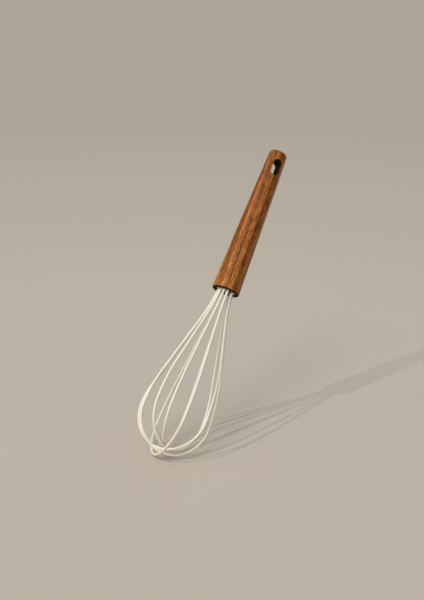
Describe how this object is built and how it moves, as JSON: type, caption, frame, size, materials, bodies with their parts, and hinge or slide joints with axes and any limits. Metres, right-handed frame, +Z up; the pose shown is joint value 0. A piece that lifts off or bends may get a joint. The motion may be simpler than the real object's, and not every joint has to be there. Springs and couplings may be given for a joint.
{
  "type": "balloon whisk",
  "caption": "Balloon whisk with a turned wooden handle, a hanging slot, a metal end cap and nested sleeved wire loops.",
  "frame": {"origin": "the middle of the hanging slot, on the handle's axis", "axes": "+Z up the axis from the balloon's tip to the handle's top, as the whisk hangs; the hanging slot runs along Y and -Y is the front"},
  "size_m": [0.0585, 0.0602, 0.2775],
  "materials": {
    "oiled_hardwood": "oiled, satin, fine streaks along the axis",
    "polished_steel": "polished stainless steel",
    "holder_plastic": "moulded, matte",
    "resin": "cured, glossy",
    "spring_steel": "drawn wire",
    "cream_sleeve": "smooth, soft satin silicone"
  },
  "bodies": {
    "root": {"handle": "oiled_hardwood", "end_cap": "polished_steel", "wire_holder": "holder_plastic", "resin_seal": "resin", "loop_wire_1": "spring_steel", "loop_wire_2": "spring_steel", "loop_wire_3": "spring_steel", "loop_wire_4": "spring_steel", "loop_wire_5": "spring_steel", "loop_sleeve_1": "cream_sleeve", "loop_sleeve_2": "cream_sleeve", "loop_sleeve_3": "cream_sleeve", "loop_sleeve_4": "cream_sleeve", "loop_sleeve_5": "cream_sleeve"}
  },
  "joints": []
}
